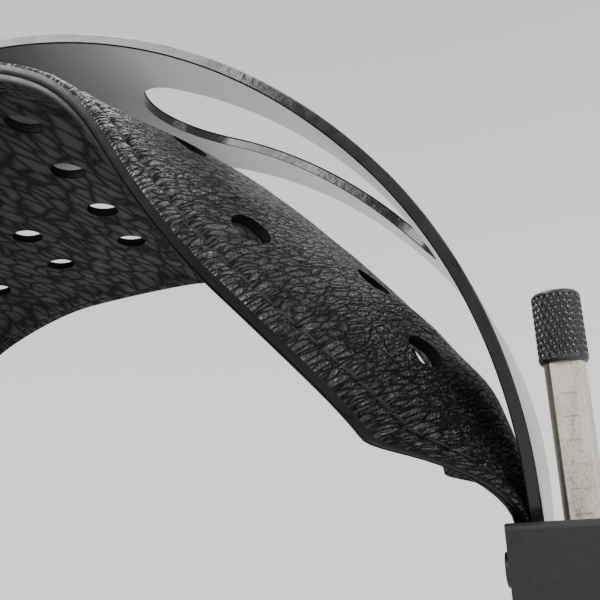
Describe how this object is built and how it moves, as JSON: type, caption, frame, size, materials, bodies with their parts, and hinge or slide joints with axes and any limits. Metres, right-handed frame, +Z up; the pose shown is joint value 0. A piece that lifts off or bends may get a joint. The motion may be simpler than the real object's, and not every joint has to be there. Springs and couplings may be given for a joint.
{
  "type": "headphone suspension headband",
  "caption": "Spring-steel bow with a perforated leather head strap slung under it, clamp blocks, notched sliding rods with knurled caps, and swivelling ear-cup yokes.",
  "frame": {"origin": "the middle of the strap's underside, at the crown of the wearer's head", "axes": "+X from the wearer's left side to the right side as drawn, -Y towards the notched face of the rods, +Z up through the bow; mirror-symmetric about X = 0"},
  "size_m": [0.1654, 0.107, 0.1731],
  "materials": {
    "bow_steel": "gloss black coated spring steel with laser-cut edges",
    "leather_outer": "black pebbled leather with a soft gloss",
    "leather_lining": "smooth dark leather",
    "block_black": "matte black, fine texture",
    "plate_black": "satin black",
    "screw_black": "black oxide",
    "bush_plastic": "natural acetal",
    "plunger_steel": "ground steel",
    "spring_steel": "drawn wire",
    "rod_nickel": "satin nickel with wear tracks",
    "cap_black": "gloss black over a diamond knurl",
    "washer_steel": "plain steel",
    "yoke_black": "matte black, fine texture"
  },
  "bodies": {
    "headband": {"spring_bow": "bow_steel", "strap_upper_ply": "leather_outer", "strap_lining": "leather_lining", "clamp_block_right": "block_black", "clamp_plate_right": "plate_black", "clamp_screws_right": "screw_black", "upper_bush_right": "bush_plastic", "lower_bush_right": "bush_plastic", "detent_spring_right": "spring_steel", "detent_set_screw_right": "screw_black", "clamp_block_left": "block_black", "clamp_plate_left": "plate_black", "clamp_screws_left": "screw_black", "upper_bush_left": "bush_plastic", "lower_bush_left": "bush_plastic", "detent_spring_left": "spring_steel", "detent_set_screw_left": "screw_black"},
    "rod_right": {"adjuster_rod_right": "rod_nickel", "knurled_cap_right": "cap_black", "swivel_washer_right": "washer_steel", "swivel_screw_right": "screw_black"},
    "yoke_right": {"yoke_right": "yoke_black", "pivot_bushes_right": "bush_plastic"},
    "detent_right": {"detent_plunger_right": "plunger_steel"},
    "rod_left": {"adjuster_rod_left": "rod_nickel", "knurled_cap_left": "cap_black", "swivel_washer_left": "washer_steel", "swivel_screw_left": "screw_black"},
    "yoke_left": {"yoke_left": "yoke_black", "pivot_bushes_left": "bush_plastic"},
    "detent_left": {"detent_plunger_left": "plunger_steel"}
  },
  "joints": [
    {"name": "rod_slide_right", "type": "slide", "parent": "headband", "child": "rod_right", "axis": [0.0488, 0, 0.9988], "range_m": [-0.0156, 0.013]},
    {"name": "yoke_swivel_right", "type": "hinge", "parent": "rod_right", "child": "yoke_right", "pos_m": [0.07494, 0, -0.08935], "axis": [0.0488, 0, 0.9988], "range_deg": [-90, 90]},
    {"name": "detent_right", "type": "slide", "parent": "headband", "child": "detent_right", "axis": [0, 1, 0], "range_m": [0, 0.00025], "stiffness_N_per_m": 500, "springref_m": 0.003},
    {"name": "rod_slide_left", "type": "slide", "parent": "headband", "child": "rod_left", "axis": [-0.0488, 0, 0.9988], "range_m": [-0.0156, 0.013]},
    {"name": "yoke_swivel_left", "type": "hinge", "parent": "rod_left", "child": "yoke_left", "pos_m": [-0.07494, 0, -0.08935], "axis": [-0.0488, 0, 0.9988], "range_deg": [-90, 90]},
    {"name": "detent_left", "type": "slide", "parent": "headband", "child": "detent_left", "axis": [0, 1, 0], "range_m": [0, 0.00025], "stiffness_N_per_m": 500, "springref_m": 0.003}
  ]
}
